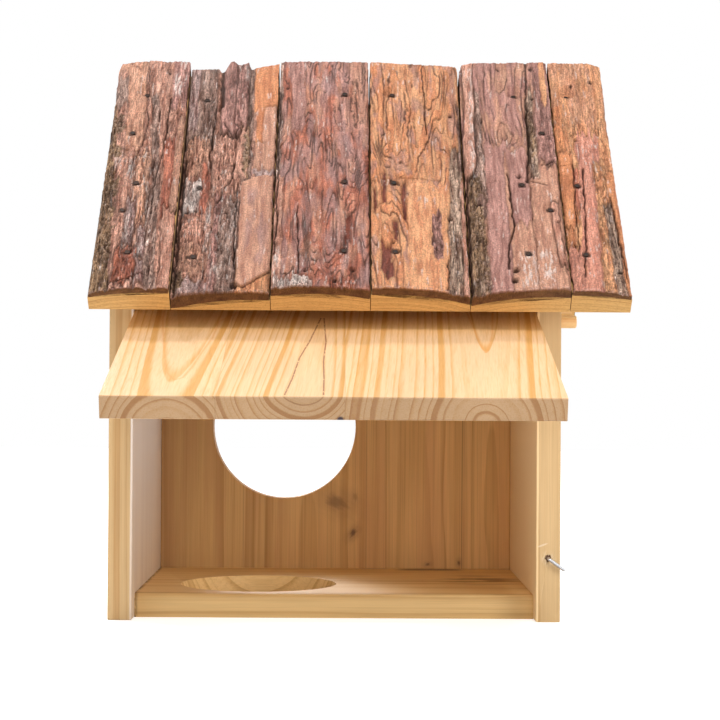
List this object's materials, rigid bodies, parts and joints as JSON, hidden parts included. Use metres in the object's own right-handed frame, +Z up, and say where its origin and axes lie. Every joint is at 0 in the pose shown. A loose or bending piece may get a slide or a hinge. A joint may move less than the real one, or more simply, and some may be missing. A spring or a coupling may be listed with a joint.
{
  "type": "squirrel house",
  "caption": "Gable-roofed wooden squirrel nest box with a bark slab roof, round openings in back and floor, a dowel-hinged front flap and a wire turn hook.",
  "frame": {"origin": "middle of the body at the underside of the floor, on the surface that the house stands on", "axes": "+X to the right as seen from the flap, +Y to the back panel, +Z up"},
  "size_m": [0.3238, 0.4263, 0.3648],
  "materials": {
    "side_pine": "planed pine, oiled",
    "back_pine": "planed pine staves, oiled",
    "floor_pine": "planed pine, oiled",
    "flap_pine": "planed pine staves, satin varnish",
    "dowel_beech": "turned hardwood",
    "slab_wood": "sawn softwood",
    "batten_wood": "sawn softwood",
    "bark": "rough bark, partly planed, clear varnish",
    "nail_steel": "dull dark steel",
    "screw_steel": "zinc plated",
    "hook_steel": "bright zinc plated wire"
  },
  "bodies": {
    "house": {"left_side": "side_pine", "right_side": "side_pine", "back_panel": "back_pine", "floor_board": "floor_pine", "hinge_dowel_left": "dowel_beech", "hinge_dowel_right": "dowel_beech", "front_slab_1": "slab_wood", "front_bark_1": "bark", "rear_slab_1": "slab_wood", "rear_bark_1": "bark", "front_slab_2": "slab_wood", "front_bark_2": "bark", "rear_slab_2": "slab_wood", "rear_bark_2": "bark", "front_slab_3": "slab_wood", "front_bark_3": "bark", "rear_slab_3": "slab_wood", "rear_bark_3": "bark", "front_slab_4": "slab_wood", "front_bark_4": "bark", "rear_slab_4": "slab_wood", "rear_bark_4": "bark", "front_slab_5": "slab_wood", "front_bark_5": "bark", "rear_slab_5": "slab_wood", "rear_bark_5": "bark", "front_slab_6": "slab_wood", "front_bark_6": "bark", "rear_slab_6": "slab_wood", "rear_bark_6": "bark", "front_eave_batten": "batten_wood", "front_middle_batten": "batten_wood", "rear_eave_batten": "batten_wood", "rear_middle_batten": "batten_wood", "ridge_batten": "batten_wood", "front_roof_nails": "nail_steel", "rear_roof_nails": "nail_steel", "left_screws": "screw_steel", "right_screws": "screw_steel"},
    "flap": {"flap": "flap_pine"},
    "hook": {"turn_hook": "hook_steel"}
  },
  "joints": [
    {"name": "flap_hinge", "type": "hinge", "parent": "house", "child": "flap", "pos_m": [0, -0.093, 0.1864], "axis": [1, 0, 0], "range_deg": [-13.5, 73.25]},
    {"name": "hook_turn", "type": "hinge", "parent": "house", "child": "hook", "pos_m": [0.1325, -0.1, 0.0395], "axis": [0, -1, 0], "range_deg": [-144, 216]}
  ]
}
